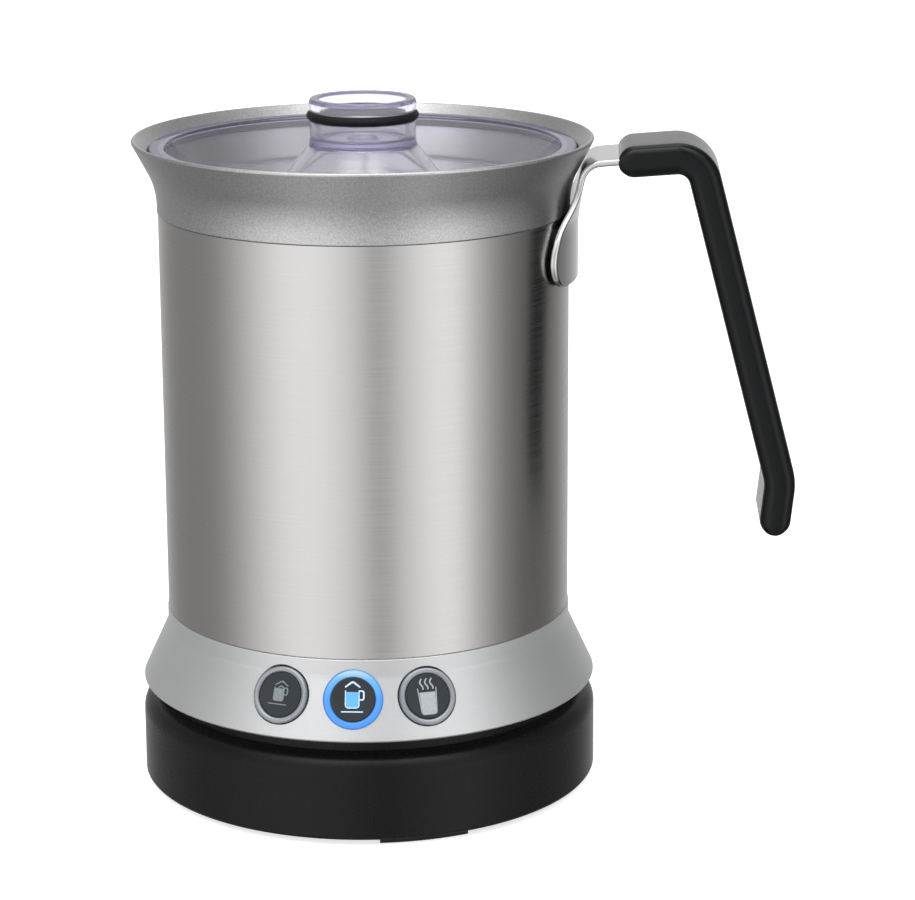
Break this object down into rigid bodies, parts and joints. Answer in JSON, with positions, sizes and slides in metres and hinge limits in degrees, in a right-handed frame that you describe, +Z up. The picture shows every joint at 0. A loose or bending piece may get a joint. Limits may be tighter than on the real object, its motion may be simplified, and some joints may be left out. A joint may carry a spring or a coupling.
{
  "type": "milk frother",
  "caption": "Electric milk frother: lidded steel jug with a magnetic whisk, strap handle and push buttons, lifting off a round cordless power base.",
  "frame": {"origin": "on the jug's axis at the level of the feet", "axes": "+Z up, -Y towards the buttons, +X towards the handle"},
  "size_m": [0.1788, 0.1254, 0.1878],
  "materials": {
    "base_plastic": "satin moulded",
    "rubber": "matte",
    "silver_paint": "fine metallic silver",
    "brushed_steel": "brushed round the jug",
    "polished_steel": "polished",
    "bare_steel": "plain",
    "bowl_coating": "non-stick coating",
    "heater_metal": "cast",
    "brass": "plain",
    "magnet": "plain",
    "inner_plastic": "matte moulded",
    "bush_plastic": "matte moulded",
    "circuit_board": "solder mask",
    "grip_plastic": "glossy moulded",
    "clear_plastic": "clear, slightly violet",
    "button_plastic": "satin",
    "ring_grey": "satin grey",
    "ring_blue": "lit from behind",
    "lamp": "clear"
  },
  "bodies": {
    "base": {"base_shell": "base_plastic", "base_bottom": "base_plastic", "base_feet": "rubber", "base_screws": "bare_steel", "base_connector": "inner_plastic", "base_contacts": "brass", "cord_bushing": "rubber", "cord_clamp": "inner_plastic", "clamp_screws": "bare_steel"},
    "socket": {"jug_socket": "inner_plastic", "socket_contacts": "brass"},
    "jug": {"jug_bottom": "base_plastic", "skirt": "silver_paint", "outer_sleeve": "brushed_steel", "collar": "silver_paint", "bowl": "bowl_coating", "bowl_gasket": "rubber", "bowl_pin": "bare_steel", "heater_plate": "heater_metal", "heating_element": "bare_steel", "thermostat": "inner_plastic", "thermal_fuse": "bare_steel", "chassis": "inner_plastic", "motor_can": "bare_steel", "field_magnets": "magnet", "motor_screws": "bare_steel", "control_board": "circuit_board", "board_parts": "inner_plastic", "switch_boards": "circuit_board", "tact_switches": "inner_plastic", "lamps": "lamp", "left_light_ring": "ring_grey", "centre_light_ring": "ring_blue", "right_light_ring": "ring_grey", "handle_strap": "polished_steel", "handle_pad": "rubber", "handle_grip": "grip_plastic", "handle_studs": "bare_steel", "handle_nuts": "bare_steel", "jug_screws": "bare_steel"},
    "lid": {"lid_shell": "clear_plastic", "lid_seal": "rubber", "lid_o_ring": "rubber"},
    "rotor": {"motor_shaft": "bare_steel", "motor_armature": "brass", "magnet_carrier": "inner_plastic", "drive_magnets": "magnet"},
    "whisk_seat": {"whisk_bush": "bush_plastic"},
    "whisk": {"whisk_hub": "inner_plastic", "whisk_coil": "bare_steel", "whisk_magnets": "magnet"},
    "left_button": {"left_button": "button_plastic"},
    "centre_button": {"centre_button": "button_plastic"},
    "right_button": {"right_button": "button_plastic"}
  },
  "joints": [
    {"name": "jug_lift", "type": "slide", "parent": "base", "child": "socket", "axis": [0, 0, 1], "range_m": [0, 0.08]},
    {"name": "jug_turn", "type": "hinge", "parent": "socket", "child": "jug", "pos_m": [0, 0, 0.03], "axis": [0, 0, 1], "continuous": true},
    {"name": "lid_lift", "type": "slide", "parent": "jug", "child": "lid", "axis": [0, 0, 1], "range_m": [0, 0.06]},
    {"name": "motor_spin", "type": "hinge", "parent": "jug", "child": "rotor", "pos_m": [0, 0, 0.06], "axis": [0, 0, 1], "continuous": true},
    {"name": "whisk_lift", "type": "slide", "parent": "jug", "child": "whisk_seat", "axis": [0, 0, 1], "range_m": [0, 0.05]},
    {"name": "whisk_spin", "type": "hinge", "parent": "whisk_seat", "child": "whisk", "pos_m": [0, 0, 0.07], "axis": [0, 0, 1], "continuous": true},
    {"name": "left_press", "type": "slide", "parent": "jug", "child": "left_button", "axis": [0.3014, 0.8558, -0.4206], "range_m": [0, 0.0008], "stiffness_N_per_m": 400, "springref_m": -0.003},
    {"name": "centre_press", "type": "slide", "parent": "jug", "child": "centre_button", "axis": [0, 0.9073, -0.4206], "range_m": [0, 0.0008], "stiffness_N_per_m": 400, "springref_m": -0.003},
    {"name": "right_press", "type": "slide", "parent": "jug", "child": "right_button", "axis": [-0.3014, 0.8558, -0.4206], "range_m": [0, 0.0008], "stiffness_N_per_m": 400, "springref_m": -0.003}
  ],
  "couplings": [
    {"joint": "whisk_spin", "follows": "motor_spin", "ratio": 1}
  ]
}
